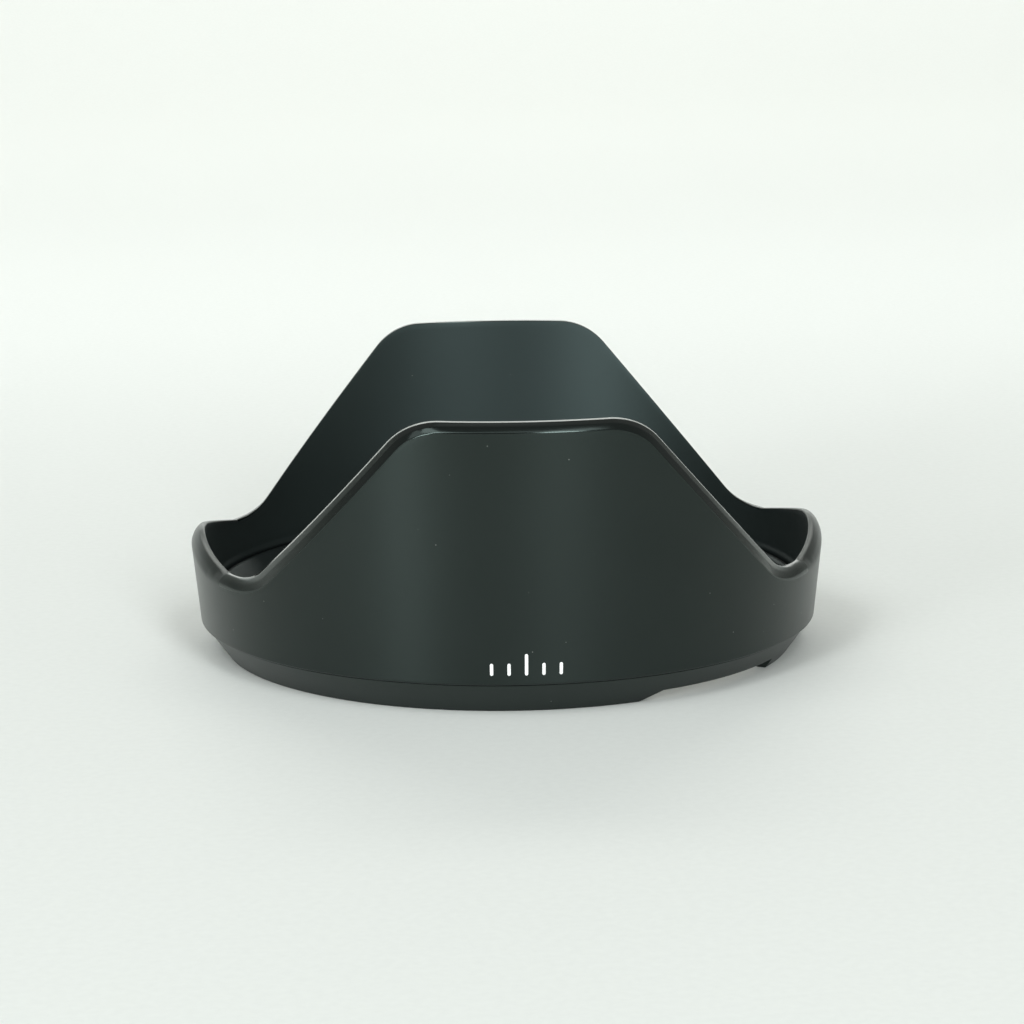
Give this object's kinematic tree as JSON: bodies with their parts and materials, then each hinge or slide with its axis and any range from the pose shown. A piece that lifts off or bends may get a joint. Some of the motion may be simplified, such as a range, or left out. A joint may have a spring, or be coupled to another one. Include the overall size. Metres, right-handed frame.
{
  "type": "lens hood",
  "caption": "Petal-shaped lens hood with a flared shell, a bayonet ring behind it and white index marks on the front petal.",
  "frame": {"origin": "centre of the rear face, on the hood's axis: it stands on this face", "axes": "+Z along the optical axis towards the subject, Y through the middles of the two tall petals with the marked one towards -Y, X through the two low petals"},
  "size_m": [0.087, 0.0914, 0.0382],
  "materials": {
    "shell_plastic": "satin, finely textured",
    "ring_plastic": "satin, finely textured",
    "white_paint": "matte paint fill"
  },
  "bodies": {
    "root": {"petal_shell": "shell_plastic", "bayonet_ring": "ring_plastic", "index_fill_1": "white_paint", "index_fill_2": "white_paint", "index_fill_3": "white_paint", "index_fill_4": "white_paint", "index_fill_5": "white_paint"}
  },
  "joints": []
}
